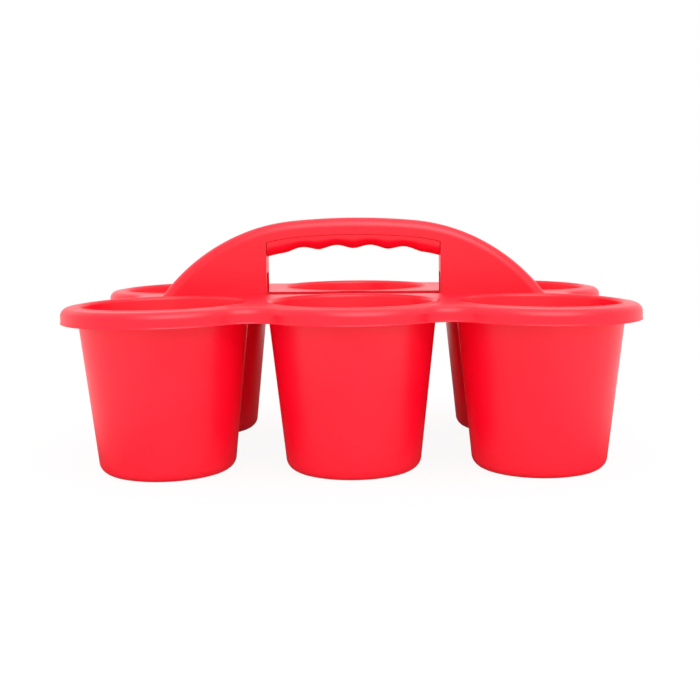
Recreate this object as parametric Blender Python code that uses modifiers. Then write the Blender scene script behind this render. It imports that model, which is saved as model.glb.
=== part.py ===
"""Cup caddy: six tapered cups under one scalloped deck, with an arched carrying handle.

The origin is on the table, under the middle of the caddy. X runs along the handle, Y from the
front row of cups to the rear row, and Z up. All lengths are in metres.
"""

import math

import bmesh
import bpy
from mathutils import Matrix, Vector

# Layout of the cups
CUP_NAMES = (
    "cup_front_left",
    "cup_front_middle",
    "cup_front_right",
    "cup_rear_left",
    "cup_rear_middle",
    "cup_rear_right",
)
CUPS_PER_ROW = 3
GAP_BETWEEN_BEADS = 0.0054

# Cup
CUP_FOOT_RADIUS = 0.0384
CUP_MOUTH_RADIUS = 0.0484
CUP_WALL = 0.0022
CUP_FLOOR = 0.0024
CUP_FOOT_ROUND = 0.0070

# Deck
DECK_HEIGHT = 0.0961
DECK_THICKNESS = 0.0022
RIM_LAND = 0.0066
RIM_ROUND = 0.0045
SKIRT_DROP = 0.0083
SKIRT_WALL = 0.0020
WEB_RADIUS = 0.0200
COLLAR_DEPTH = 0.0010
BEAD_RISE = 0.0015
BEAD_SPREAD = 0.0026
BEAD_LIP_ROUND = 0.0013
SLOT_MARGIN = 0.0018
SLOT_CORNER = 0.0010

# Handle
HANDLE_RISE = 0.0472
HANDLE_OVERHANG = 0.0117
HANDLE_CROWN_RADIUS = 0.4035
HANDLE_SHOULDER_RADIUS = 0.1164
HANDLE_THICKNESS = 0.0194
HANDLE_ROUND = 0.0060
HANDLE_WALL = 0.0022
ARCH_DEPTH = 0.0101
WINDOW_LENGTH = 0.1070
WINDOW_WALL_STEP = 0.0010

# Grip
GRIP_DEPTH = 0.0086
GRIP_RECESS = 0.0006
GRIP_ROUND = 0.0055
GRIP_TONGUE = 0.0035
GRIP_WALL = 0.0022
NOTCH_DEPTH = 0.0021
NOTCH_COUNT = 4
GRIP_PLAIN_END = 0.0111

# Fits
SEAT_GAP = 0.0003
CUT_OVERRUN = 0.0040

# Counts of facets
CUP_FACETS = 36
ROUND_STEPS = 3
LIP_STEPS = 2
WEB_STEPS = 4
END_RIM_STEPS = 22
MIDDLE_RIM_STEPS = 11
CROWN_STEPS = 6
SHOULDER_STEPS = 10
NOTCH_STEPS = 8

# Finish
CADDY_RED = (0.86, 0.008, 0.018, 1.0)
PLASTIC_ROUGHNESS = 0.35
SMOOTH_ANGLE = math.radians(35)
FLAT_ANGLE = math.radians(0.1)

# Heights that follow from the sizes above
DECK_UNDERSIDE = DECK_HEIGHT - DECK_THICKNESS
JOINT_HEIGHT = DECK_UNDERSIDE - COLLAR_DEPTH
SKIRT_BOTTOM = DECK_HEIGHT - SKIRT_DROP
HANDLE_FOOT = DECK_HEIGHT + SEAT_GAP
HANDLE_TOP = DECK_HEIGHT + HANDLE_RISE

# Plan sizes that follow: the handle passes between the beads of the two rows
BEAD_FOOT_RADIUS = CUP_MOUTH_RADIUS + BEAD_SPREAD
RIM_RADIUS = BEAD_FOOT_RADIUS + RIM_LAND
CUP_PITCH_X = 2 * BEAD_FOOT_RADIUS + GAP_BETWEEN_BEADS
CUP_PITCH_Y = 2 * (BEAD_FOOT_RADIUS + SEAT_GAP) + HANDLE_THICKNESS
END_CUP_X = (CUPS_PER_ROW - 1) * CUP_PITCH_X / 2
ROW_Y = CUP_PITCH_Y / 2
HANDLE_HALF_LENGTH = END_CUP_X + HANDLE_OVERHANG
HALF_WINDOW = WINDOW_LENGTH / 2
SLOT_WIDTH = HANDLE_THICKNESS + 2 * SLOT_MARGIN
NOTCH_PITCH = (WINDOW_LENGTH - 2 * GRIP_PLAIN_END) / NOTCH_COUNT
WELD_DISTANCE = SEAT_GAP / 30


def clear_scene():
    """Remove every object that the scene holds."""
    for thing in list(bpy.data.objects):
        bpy.data.objects.remove(thing, do_unlink=True)


def make_collection(name):
    """Add a collection to the scene."""
    collection = bpy.data.collections.new(name)
    bpy.context.scene.collection.children.link(collection)
    return collection


def red_plastic(name):
    """Satin red moulded plastic, one material for each sub-part."""
    material = bpy.data.materials.new(name)
    material.use_nodes = True
    shader = material.node_tree.nodes["Principled BSDF"]
    shader.inputs["Base Color"].default_value = CADDY_RED
    shader.inputs["Roughness"].default_value = PLASTIC_ROUGHNESS
    shader.inputs["Metallic"].default_value = 0.0
    material.diffuse_color = CADDY_RED
    return material


def add_object(name, mesh, collection):
    """Put a mesh in the scene as a named object."""
    thing = bpy.data.objects.new(name, mesh)
    collection.objects.link(thing)
    return thing


def finish(thing):
    """Give a part its own material and smooth shading on its round faces."""
    thing.data.materials.clear()
    thing.data.materials.append(red_plastic(thing.name + "_plastic"))
    thing.data.shade_smooth()
    thing.data.set_sharp_from_angle(angle=SMOOTH_ANGLE)


def boolean(target, cutter, operation):
    """Cut or join with a helper object and keep the result as the target's mesh."""
    modifier = target.modifiers.new(operation.title(), "BOOLEAN")
    modifier.operation = operation
    modifier.solver = "EXACT"
    modifier.object = cutter
    bpy.context.view_layer.update()
    evaluated = target.evaluated_get(bpy.context.evaluated_depsgraph_get())
    result = bpy.data.meshes.new_from_object(evaluated)
    target.modifiers.remove(modifier)
    target.data = result


def hide_helper(thing):
    """Mark a helper so that it is never taken for a part."""
    thing.hide_render = True
    thing.display_type = "WIRE"


def arc(centre, radius, start, end, steps):
    """Points on a circle from one angle to another, both ends included."""
    points = []
    for step in range(steps + 1):
        angle = start + (end - start) * step / steps
        points.append((centre[0] + radius * math.cos(angle), centre[1] + radius * math.sin(angle)))
    return points


def turned(name, profile, facets, collection):
    """A closed solid of revolution about Z from a profile of (radius, height) points.

    The profile is a closed loop that runs down its outer side, from top to bottom.
    """
    mesh = bpy.data.meshes.new(name)
    points = [(radius, 0.0, height) for radius, height in profile]
    edges = [(index, (index + 1) % len(points)) for index in range(len(points))]
    if profile[0][0] == 0.0 and profile[-1][0] == 0.0:
        edges.pop()
    mesh.from_pydata(points, edges, [])
    thing = add_object(name, mesh, collection)
    screw = thing.modifiers.new("Turn", "SCREW")
    screw.axis = "Z"
    screw.steps = facets
    screw.render_steps = facets
    screw.use_merge_vertices = True
    screw.merge_threshold = WELD_DISTANCE
    bpy.context.view_layer.update()
    evaluated = thing.evaluated_get(bpy.context.evaluated_depsgraph_get())
    thing.data = bpy.data.meshes.new_from_object(evaluated)
    thing.modifiers.clear()
    return thing


def slab(name, outline, thickness, collection):
    """A flat outline, filled and raised to a thickness, lying on its lower face in XY."""
    curve = bpy.data.curves.new(name, "CURVE")
    curve.dimensions = "2D"
    curve.fill_mode = "BOTH"
    curve.extrude = thickness / 2
    spline = curve.splines.new("POLY")
    spline.points.add(len(outline) - 1)
    for point, (x, y) in zip(spline.points, outline):
        point.co = (x, y, 0.0, 1.0)
    spline.use_cyclic_u = True
    helper = add_object(name, curve, collection)
    bpy.context.view_layer.update()
    evaluated = helper.evaluated_get(bpy.context.evaluated_depsgraph_get())
    mesh = bpy.data.meshes.new_from_object(evaluated)
    bpy.data.objects.remove(helper, do_unlink=True)
    mesh.transform(Matrix.Translation((0.0, 0.0, thickness / 2)))
    shape = bmesh.new()
    shape.from_mesh(mesh)
    bmesh.ops.remove_doubles(shape, verts=shape.verts, dist=WELD_DISTANCE)
    bmesh.ops.dissolve_limit(shape, angle_limit=FLAT_ANGLE, verts=shape.verts, edges=shape.edges)
    bmesh.ops.recalc_face_normals(shape, faces=shape.faces)
    shape.to_mesh(mesh)
    shape.free()
    return add_object(name, mesh, collection)


def round_edges(thing, radius, steps, chosen):
    """Round the sharp edges whose middle points answer to the chosen test."""
    shape = bmesh.new()
    shape.from_mesh(thing.data)
    edges = []
    for edge in shape.edges:
        middle = (edge.verts[0].co + edge.verts[1].co) / 2
        if chosen(middle) and edge.calc_face_angle(0.0) > SMOOTH_ANGLE:
            edges.append(edge)
    bmesh.ops.bevel(
        shape,
        geom=edges,
        offset=radius,
        offset_type="OFFSET",
        segments=steps,
        profile=0.5,
        affect="EDGES",
        clamp_overlap=False,
    )
    bmesh.ops.recalc_face_normals(shape, faces=shape.faces)
    shape.to_mesh(thing.data)
    shape.free()


def stand_up(thing, thickness):
    """Turn a slab from the XY plane to the XZ plane and centre it across Y."""
    thing.data.transform(Matrix.Rotation(math.radians(90), 4, "X"))
    thing.data.transform(Matrix.Translation((0.0, thickness / 2, 0.0)))


def box(name, low, high, collection):
    """An upright box between two corners."""
    mesh = bpy.data.meshes.new(name)
    shape = bmesh.new()
    bmesh.ops.create_cube(shape, size=1.0)
    size = Vector(high) - Vector(low)
    middle = (Vector(high) + Vector(low)) / 2
    bmesh.ops.scale(shape, vec=size, verts=shape.verts)
    bmesh.ops.translate(shape, vec=middle, verts=shape.verts)
    shape.to_mesh(mesh)
    shape.free()
    return add_object(name, mesh, collection)


def cup_outer_radius(height):
    """Radius of a cup's outside at a height above the table."""
    return CUP_FOOT_RADIUS + (CUP_MOUTH_RADIUS - CUP_FOOT_RADIUS) * height / DECK_UNDERSIDE


def cup_inner_radius(height):
    """Radius of a cup's inside at a height above the table."""
    return cup_outer_radius(height) - CUP_WALL


def cup_profile():
    """Profile of one cup: out along its floor, up its inside, over the lip and down its outside."""
    top = JOINT_HEIGHT - SEAT_GAP
    inner_round = CUP_FOOT_ROUND - CUP_WALL
    inner_height = CUP_FLOOR + inner_round
    inner_centre = (cup_inner_radius(inner_height) - inner_round, inner_height)
    outer_centre = (cup_outer_radius(CUP_FOOT_ROUND) - CUP_FOOT_ROUND, CUP_FOOT_ROUND)
    return [
        (0.0, CUP_FLOOR),
        *arc(inner_centre, inner_round, -math.pi / 2, 0.0, ROUND_STEPS),
        (cup_inner_radius(top), top),
        (cup_outer_radius(top), top),
        *arc(outer_centre, CUP_FOOT_ROUND, 0.0, -math.pi / 2, ROUND_STEPS),
        (0.0, 0.0),
    ]


def make_cup(name, centre, collection):
    """One cup, open at the top, standing on its flat foot."""
    cup = turned(name, cup_profile(), CUP_FACETS, collection)
    cup.location = (centre[0], centre[1], 0.0)
    finish(cup)


def cup_centres():
    """Places of the cups' axes in plan, the front row first, each row from left to right."""
    centres = []
    for row_y in (-ROW_Y, ROW_Y):
        for column in range(CUPS_PER_ROW):
            centres.append((column * CUP_PITCH_X - END_CUP_X, row_y))
    return centres


def scalloped_outline(inset):
    """The deck's outline, drawn in by an inset, anticlockwise from the right-hand end.

    An arc follows each cup and a hollow blend joins each two neighbours.
    """
    rim = RIM_RADIUS - inset
    blend = WEB_RADIUS + inset
    reach = rim + blend
    half_pitch = CUP_PITCH_X / 2
    to_row_mate = math.acos(half_pitch / reach)
    to_other_row = math.acos(ROW_Y / reach)
    end_web_x = END_CUP_X + math.sqrt(reach ** 2 - ROW_Y ** 2)
    row_web_y = ROW_Y + math.sqrt(reach ** 2 - half_pitch ** 2)
    half_turn = math.pi
    quarter = math.pi / 2
    points = arc((end_web_x, 0.0), blend, half_turn, quarter + to_other_row, WEB_STEPS)[:-1]
    for column in range(CUPS_PER_ROW):
        cup_x = END_CUP_X - column * CUP_PITCH_X
        first = column == 0
        last = column == CUPS_PER_ROW - 1
        start = to_other_row - quarter if first else to_row_mate
        end = half_turn + quarter - to_other_row if last else half_turn - to_row_mate
        steps = END_RIM_STEPS if first or last else MIDDLE_RIM_STEPS
        points += arc((cup_x, ROW_Y), rim, start, end, steps)[:-1]
        if not last:
            web = (cup_x - half_pitch, row_web_y)
            points += arc(web, blend, -to_row_mate, to_row_mate - half_turn, 2 * WEB_STEPS)[:-1]
    points += arc((-end_web_x, 0.0), blend, quarter - to_other_row, 0.0, WEB_STEPS)[:-1]
    return points + [(-x, -y) for x, y in points]


def deck_block(name, inset, top, bottom, radius, collection):
    """A scalloped block whose top edge is rounded."""
    block = slab(name, scalloped_outline(inset), top - bottom, collection)
    block.data.transform(Matrix.Translation((0.0, 0.0, bottom)))
    round_edges(block, radius, ROUND_STEPS, lambda place: place.z > top - SEAT_GAP)
    return block


def bead_profile():
    """Closed profile of the ring round a cup's mouth: collar below the deck, raised bead above."""
    crest = DECK_HEIGHT + BEAD_RISE
    lip_height = crest - BEAD_LIP_ROUND
    mouth = cup_inner_radius(lip_height)
    lip = arc((mouth + BEAD_LIP_ROUND, lip_height), BEAD_LIP_ROUND, math.pi, math.pi / 2, LIP_STEPS)
    embedded = DECK_HEIGHT - DECK_THICKNESS / 2
    return [
        *lip,
        (BEAD_FOOT_RADIUS, DECK_HEIGHT - SEAT_GAP),
        (BEAD_FOOT_RADIUS, embedded),
        (cup_outer_radius(embedded), embedded),
        (cup_outer_radius(JOINT_HEIGHT), JOINT_HEIGHT),
        (cup_inner_radius(JOINT_HEIGHT), JOINT_HEIGHT),
    ]


def make_deck(collection, helpers):
    """The deck: a shallow tray upside down, with six beaded mouths, the slot and the leg holes."""
    deck = deck_block("deck", 0.0, DECK_HEIGHT, SKIRT_BOTTOM, RIM_ROUND, collection)
    hollow_bottom = SKIRT_BOTTOM - CUT_OVERRUN
    hollow_round = RIM_ROUND - SKIRT_WALL
    hollow = deck_block("deck_hollow", SKIRT_WALL, DECK_UNDERSIDE, hollow_bottom, hollow_round, helpers)
    boolean(deck, hollow, "DIFFERENCE")
    hide_helper(hollow)
    middle_of_wall = cup_inner_radius(DECK_UNDERSIDE) + CUP_WALL / 2
    low = DECK_UNDERSIDE - CUT_OVERRUN
    high = DECK_HEIGHT + CUT_OVERRUN
    plug_profile = [(0.0, high), (middle_of_wall, high), (middle_of_wall, low), (0.0, low)]
    for number, (x, y) in enumerate(cup_centres()):
        plug = turned(f"mouth_hole_{number}", plug_profile, CUP_FACETS, helpers)
        plug.location = (x, y, 0.0)
        boolean(deck, plug, "DIFFERENCE")
        hide_helper(plug)
        bead = turned(f"mouth_bead_{number}", bead_profile(), CUP_FACETS, helpers)
        bead.location = (x, y, 0.0)
        boolean(deck, bead, "UNION")
        hide_helper(bead)
    half_slot = SLOT_WIDTH / 2
    slot = box("slot_hole", (-HALF_WINDOW, -half_slot, low), (HALF_WINDOW, half_slot, high), helpers)

    def upright(place):
        return min(abs(place.x), abs(place.y)) > SLOT_CORNER

    round_edges(slot, SLOT_CORNER, LIP_STEPS, upright)
    boolean(deck, slot, "DIFFERENCE")
    hide_helper(slot)
    inner_half = HANDLE_THICKNESS / 2 - HANDLE_WALL
    leg_start = HALF_WINDOW + HANDLE_WALL
    leg_end = handle_half_length(HANDLE_WALL)
    for side, word in ((-1, "left"), (1, "right")):
        near, far = sorted((side * leg_start, side * leg_end))
        core = box(f"leg_hole_{word}", (near, -inner_half, low), (far, inner_half, high), helpers)
        boolean(deck, core, "DIFFERENCE")
        hide_helper(core)
    finish(deck)


def handle_arcs():
    """The arcs of the handle's outline: crown centre height, shoulder centre and join angle.

    A shoulder arc touches the crown arc from inside and ends at the handle's foot.
    """
    crown_z = HANDLE_TOP - HANDLE_CROWN_RADIUS
    to_crown = HANDLE_CROWN_RADIUS - HANDLE_SHOULDER_RADIUS
    across = HANDLE_HALF_LENGTH
    up = HANDLE_FOOT - crown_z
    span = math.hypot(across, up)
    along = (to_crown ** 2 - HANDLE_SHOULDER_RADIUS ** 2 + span ** 2) / (2 * span)
    aside = math.sqrt(to_crown ** 2 - along ** 2)
    shoulder_x = (along * across - aside * up) / span
    shoulder_z = crown_z + (along * up + aside * across) / span
    join = math.atan2(shoulder_x, shoulder_z - crown_z)
    return crown_z, (shoulder_x, shoulder_z), join


def handle_half_length(inset):
    """Half the handle's length at its foot, drawn in by an inset."""
    _, (shoulder_x, shoulder_z), _ = handle_arcs()
    radius = HANDLE_SHOULDER_RADIUS - inset
    return shoulder_x + math.sqrt(radius ** 2 - (HANDLE_FOOT - shoulder_z) ** 2)


def arch_height(x, inset):
    """Height of the handle's outline at a place along its length, drawn in by an inset."""
    crown_z, (shoulder_x, shoulder_z), join = handle_arcs()
    crown = HANDLE_CROWN_RADIUS - inset
    if abs(x) <= crown * math.sin(join):
        return crown_z + math.sqrt(crown ** 2 - x ** 2)
    shoulder = HANDLE_SHOULDER_RADIUS - inset
    return shoulder_z + math.sqrt(shoulder ** 2 - (abs(x) - shoulder_x) ** 2)


def arch_outline(inset, bottom):
    """Outline of the whole handle in XZ, drawn in by an inset, from the right foot to the left."""
    crown_z, shoulder_centre, join = handle_arcs()
    shoulder = HANDLE_SHOULDER_RADIUS - inset
    foot = math.asin((bottom - shoulder_centre[1]) / shoulder)
    upright = math.pi / 2
    right = arc(shoulder_centre, shoulder, foot, upright - join, SHOULDER_STEPS)
    crown = arc((0.0, crown_z), HANDLE_CROWN_RADIUS - inset, upright - join, upright + join, CROWN_STEPS)
    left = [(-x, z) for x, z in reversed(right)]
    return right[:-1] + crown + left[1:]


def under_arch_outline(half_length, inset, bottom):
    """Outline of the space under the arch: straight ends, and a top that follows the arch."""
    steps = NOTCH_COUNT * NOTCH_STEPS
    top = []
    for step in range(steps + 1):
        x = half_length - 2 * half_length * step / steps
        top.append((x, arch_height(x, inset)))
    return [(-half_length, bottom), (half_length, bottom)] + top


def make_handle(collection, helpers):
    """The handle shell: arch and legs, hollow, open at the feet and under the arch."""
    handle = slab("handle_shell", arch_outline(0.0, HANDLE_FOOT), HANDLE_THICKNESS, collection)
    stand_up(handle, HANDLE_THICKNESS)
    round_edges(handle, HANDLE_ROUND, ROUND_STEPS, lambda place: place.z > HANDLE_FOOT + SEAT_GAP)
    inner_thickness = HANDLE_THICKNESS - 2 * HANDLE_WALL
    hollow_foot = HANDLE_FOOT - CUT_OVERRUN
    hollow = slab("handle_hollow", arch_outline(HANDLE_WALL, hollow_foot), inner_thickness, helpers)
    stand_up(hollow, inner_thickness)
    inner_round = HANDLE_ROUND - HANDLE_WALL
    round_edges(hollow, inner_round, ROUND_STEPS, lambda place: place.z > hollow_foot + SEAT_GAP)
    cut_bottom = hollow_foot - CUT_OVERRUN
    cut_thickness = HANDLE_THICKNESS + 2 * CUT_OVERRUN
    kept_half = HALF_WINDOW + HANDLE_WALL
    kept_outline = under_arch_outline(kept_half, ARCH_DEPTH + WINDOW_WALL_STEP, cut_bottom)
    kept = slab("window_surround", kept_outline, cut_thickness, helpers)
    stand_up(kept, cut_thickness)
    boolean(hollow, kept, "DIFFERENCE")
    boolean(handle, hollow, "DIFFERENCE")
    window_outline = under_arch_outline(HALF_WINDOW, ARCH_DEPTH, cut_bottom)
    window = slab("window_hole", window_outline, cut_thickness, helpers)
    stand_up(window, cut_thickness)
    boolean(handle, window, "DIFFERENCE")
    for helper in (hollow, kept, window):
        hide_helper(helper)
    finish(handle)


def grip_inset(x):
    """How far inside the handle's outline the grip's underside lies at a place along it."""
    notched_half = NOTCH_COUNT * NOTCH_PITCH / 2
    notch = 0.0
    if abs(x) < notched_half:
        turn = 2 * math.pi * (x + notched_half) / NOTCH_PITCH
        notch = NOTCH_DEPTH * (1 - math.cos(turn)) / 2
    return ARCH_DEPTH + GRIP_DEPTH - notch


def grip_outline(half_length):
    """Outline of the visible part of the grip in XZ, with its finger notches below."""
    steps = NOTCH_COUNT * NOTCH_STEPS
    notched_half = NOTCH_COUNT * NOTCH_PITCH / 2
    places = [-half_length]
    for step in range(steps + 1):
        places.append(notched_half * (2 * step / steps - 1))
    places.append(half_length)
    below = [(x, arch_height(x, grip_inset(x))) for x in places]
    above = [(x, arch_height(x, ARCH_DEPTH + SEAT_GAP)) for x in reversed(places)]
    return below + above


def grip_hollow_outline(half_length, floor_inset, top):
    """Outline of the grip's hollow in XZ: its floor follows the arch and its top is level."""
    steps = NOTCH_COUNT * NOTCH_STEPS
    floor = []
    for step in range(steps + 1):
        x = half_length * (2 * step / steps - 1)
        floor.append((x, arch_height(x, floor_inset)))
    return floor + [(half_length, top), (-half_length, top)]


def make_grip(collection, helpers):
    """The finger grip: a notched trough whose walls rise into the arch as a tongue."""
    half_length = HALF_WINDOW - SEAT_GAP
    thickness = HANDLE_THICKNESS - 2 * GRIP_RECESS
    grip = slab("finger_grip", grip_outline(half_length), thickness, collection)
    stand_up(grip, thickness)
    middle_inset = ARCH_DEPTH + (GRIP_DEPTH - NOTCH_DEPTH) / 2

    def along_underside(place):
        below = place.z < arch_height(place.x, middle_inset)
        return below and abs(place.y) > SEAT_GAP and abs(place.x) < half_length - SEAT_GAP

    round_edges(grip, GRIP_ROUND, ROUND_STEPS, along_underside)
    tongue_half = half_length - SEAT_GAP
    tongue_inset = ARCH_DEPTH - GRIP_TONGUE
    tongue_thickness = HANDLE_THICKNESS - 2 * (HANDLE_WALL + SEAT_GAP)
    tongue_bottom = arch_height(tongue_half, middle_inset)
    tongue_outline = under_arch_outline(tongue_half, tongue_inset, tongue_bottom)
    tongue = slab("grip_tongue", tongue_outline, tongue_thickness, helpers)
    stand_up(tongue, tongue_thickness)
    boolean(grip, tongue, "UNION")
    hollow_thickness = tongue_thickness - 2 * GRIP_WALL
    floor_inset = ARCH_DEPTH + GRIP_DEPTH - NOTCH_DEPTH - GRIP_WALL
    hollow_top = arch_height(0.0, tongue_inset) + CUT_OVERRUN
    hollow_outline = grip_hollow_outline(tongue_half - GRIP_WALL, floor_inset, hollow_top)
    hollow = slab("grip_hollow", hollow_outline, hollow_thickness, helpers)
    stand_up(hollow, hollow_thickness)
    boolean(grip, hollow, "DIFFERENCE")
    hide_helper(tongue)
    hide_helper(hollow)
    finish(grip)


def main():
    """Build every part of the caddy."""
    clear_scene()
    parts = make_collection("cup_caddy")
    helpers = make_collection("helpers")
    make_deck(parts, helpers)
    for (x, y), name in zip(cup_centres(), CUP_NAMES):
        make_cup(name, (x, y), parts)
    make_handle(parts, helpers)
    make_grip(parts, helpers)


main()
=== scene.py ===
"""Dresses the six-cup carrying caddy in its red moulded plastic, in a pale studio.

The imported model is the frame: X runs along the handle, Y from the front row of cups to the rear
row, Z up, and every length is in metres. Each moulded part is modelled afresh in edit mode, at a
finer grain than the solids, with its rounds and edges, and stands for its own solid.
"""

import logging
import math
from collections.abc import Callable
from dataclasses import dataclass
from enum import Enum

import bmesh
import bpy
from mathutils import Matrix, Vector


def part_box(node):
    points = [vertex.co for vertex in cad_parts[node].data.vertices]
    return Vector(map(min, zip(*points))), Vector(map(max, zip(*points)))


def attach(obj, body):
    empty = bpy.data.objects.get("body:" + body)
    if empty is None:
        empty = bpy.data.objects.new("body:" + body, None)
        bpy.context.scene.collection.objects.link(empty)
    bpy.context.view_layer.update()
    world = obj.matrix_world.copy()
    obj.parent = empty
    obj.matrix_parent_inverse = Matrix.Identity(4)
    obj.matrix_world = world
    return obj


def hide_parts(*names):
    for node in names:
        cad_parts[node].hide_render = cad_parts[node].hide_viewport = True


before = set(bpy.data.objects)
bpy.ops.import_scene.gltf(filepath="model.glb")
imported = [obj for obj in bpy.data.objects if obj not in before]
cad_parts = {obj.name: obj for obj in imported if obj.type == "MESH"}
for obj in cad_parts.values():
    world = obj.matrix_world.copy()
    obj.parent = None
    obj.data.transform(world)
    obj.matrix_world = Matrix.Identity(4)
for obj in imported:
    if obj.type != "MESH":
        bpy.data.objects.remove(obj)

LOG = logging.getLogger("cup_caddy")
BODY = "root"

Point2 = tuple[float, float]
Point3 = tuple[float, float, float]
Colour = tuple[float, float, float]
Shares = tuple[float, ...]
Tree = bpy.types.NodeTree
Socket = bpy.types.NodeSocket
EdgeTest = Callable[[bmesh.types.BMEdge, Vector], bool]

FULL_TURN = 2.0 * math.pi
HALF_TURN = math.pi
QUARTER_TURN = math.pi / 2.0
ALONG = (1.0, 0.0, 0.0)
UP = (0.0, 0.0, 1.0)
TOWARDS_FRONT = (0.0, -1.0, 0.0)
LEFT_AND_RIGHT = (-1.0, 1.0)
WHOLE = (0.0, 1.0)
SMOOTH_ANGLE = math.radians(38.0)

# Points nearer than WELD become one, and places within NEAR of each other count as the same
WELD = 0.000002
NEAR = 0.00005


class Row(Enum):
    """The two rows of cups, by the side of the handle that they stand on."""

    FRONT = "front"
    REAR = "rear"


class Column(Enum):
    """The three places in a row, from the left of the photograph to the right."""

    LEFT = "left"
    MIDDLE = "middle"
    RIGHT = "right"


# Modelling by hand, in edit mode


def clear_selection() -> None:
    """Leave edit mode and select nothing."""
    if bpy.context.object is not None and bpy.context.object.mode != "OBJECT":
        bpy.ops.object.mode_set(mode="OBJECT")
    bpy.ops.object.select_all(action="DESELECT")


def pick_only(thing: bpy.types.Object) -> None:
    """Make one object the only one selected and the active one.

    Args:
        thing: The object to work on.
    """
    clear_selection()
    thing.select_set(True)
    bpy.context.view_layer.objects.active = thing


def start_wire(name: str, place: Point3) -> bpy.types.Object:
    """Add a small plane, melt it to one point and stay in edit mode there.

    Args:
        name: The new object's name.
        place: Where the point lies.

    Returns:
        The new object, in edit mode, with its one point selected.
    """
    clear_selection()
    bpy.ops.mesh.primitive_plane_add(size=NEAR)
    wire = bpy.context.object
    wire.name = name
    wire.data.name = name
    bpy.ops.object.mode_set(mode="EDIT")
    bpy.ops.mesh.select_mode(type="VERT")
    bpy.ops.mesh.select_all(action="SELECT")
    bpy.ops.mesh.merge(type="CENTER")
    bpy.ops.transform.translate(value=place)
    return wire


def draw_wire(name: str, places: list[Point3]) -> bpy.types.Object:
    """Draw a new edge chain and leave it selected in edit mode.

    Args:
        name: The new object's name.
        places: The chain's points, in order.

    Returns:
        The new object, in edit mode, all selected.
    """
    wire = start_wire(name, places[0])
    here = Vector(places[0])
    for place in places[1:]:
        step = Vector(place) - here
        bpy.ops.mesh.extrude_vertices_move(TRANSFORM_OT_translate={"value": step})
        here = Vector(place)
    bpy.ops.mesh.select_all(action="SELECT")
    return wire


def swing(angle: float, centre: Point3, axis: Point3, steps: int) -> None:
    """Sweep the selected edges round an axis, right-handed, with the far end left selected.

    Args:
        angle: How far to go, in radians.
        centre: A point on the axis.
        axis: The axis's direction.
        steps: How many steps the sweep has.
    """
    bpy.ops.mesh.spin(steps=steps, angle=-angle, center=centre, axis=axis)


def weld_and_face_out() -> None:
    """Merge doubled points and turn every face outwards, with everything selected."""
    bpy.ops.mesh.select_all(action="SELECT")
    bpy.ops.mesh.remove_doubles(threshold=WELD)
    bpy.ops.mesh.normals_make_consistent(inside=False)


def select_edges(thing: bpy.types.Object, wanted: EdgeTest) -> None:
    """Select the edges that answer to a test, in edit mode.

    Args:
        thing: The object in edit mode.
        wanted: A test on an edge and its middle point.
    """
    bpy.ops.mesh.select_mode(type="EDGE")
    bpy.ops.mesh.select_all(action="DESELECT")
    shape = bmesh.from_edit_mesh(thing.data)
    for edge in shape.edges:
        start, end = edge.verts
        if wanted(edge, (start.co + end.co) / 2.0):
            edge.select_set(True)
    shape.select_flush_mode()
    bmesh.update_edit_mesh(thing.data)


def apply_modifier(thing: bpy.types.Object, kind: str, **settings: object) -> None:
    """Add a modifier with its settings and apply it.

    Args:
        thing: The object to change.
        kind: The modifier's type.
        settings: Its values by name.
    """
    pick_only(thing)
    modifier = thing.modifiers.new(kind.title(), kind)
    for key, value in settings.items():
        setattr(modifier, key, value)
    bpy.ops.object.modifier_apply(modifier=modifier.name)


def cut_away(thing: bpy.types.Object, cutter: bpy.types.Object) -> None:
    """Take a cutter's space out of a piece, and remove the cutter.

    Args:
        thing: The piece.
        cutter: The closed shape to take away.
    """
    apply_modifier(thing, "BOOLEAN", operation="DIFFERENCE", solver="EXACT", object=cutter)
    bpy.data.objects.remove(cutter, do_unlink=True)


def box_cutter(low: Point3, high: Point3) -> bpy.types.Object:
    """Model a square-cornered block to cut with.

    Args:
        low: Its lowest corner.
        high: Its highest corner.

    Returns:
        The block.
    """
    clear_selection()
    bpy.ops.mesh.primitive_cube_add(size=1.0)
    cutter = bpy.context.object
    bpy.ops.object.mode_set(mode="EDIT")
    bpy.ops.mesh.select_all(action="SELECT")
    bpy.ops.transform.resize(value=Vector(high) - Vector(low))
    bpy.ops.transform.translate(value=(Vector(high) + Vector(low)) / 2.0)
    clear_selection()
    return cutter


def smooth_finish(thing: bpy.types.Object) -> None:
    """Shade a piece smooth on its rounds and flat on its flats.

    Args:
        thing: The piece.
    """
    pick_only(thing)
    bpy.ops.object.shade_smooth_by_angle(angle=SMOOTH_ANGLE)
    apply_modifier(thing, "WEIGHTED_NORMAL", mode="FACE_AREA", keep_sharp=True)
    clear_selection()


def arc(centre: Point2, radius: float, start: float, end: float, steps: int) -> list[Point2]:
    """Points on a flat arc, both ends included.

    Args:
        centre: The arc's centre.
        radius: Its radius.
        start: Its first angle.
        end: Its last angle.
        steps: How many steps it has.

    Returns:
        The points, in order.
    """
    points = []
    for step in range(steps + 1):
        angle = start + (end - start) * step / steps
        points.append((centre[0] + radius * math.cos(angle), centre[1] + radius * math.sin(angle)))
    return points


# Building node materials


def feed(tree: Tree, node: bpy.types.Node, inputs: dict[str | int, object]) -> None:
    """Set or link a node's inputs.

    Args:
        tree: The tree that holds the node.
        node: The node.
        inputs: For each input's name or place, its value or the socket that feeds it.
    """
    for place, value in inputs.items():
        if isinstance(value, Socket):
            tree.links.new(value, node.inputs[place])
        else:
            node.inputs[place].default_value = value


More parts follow.
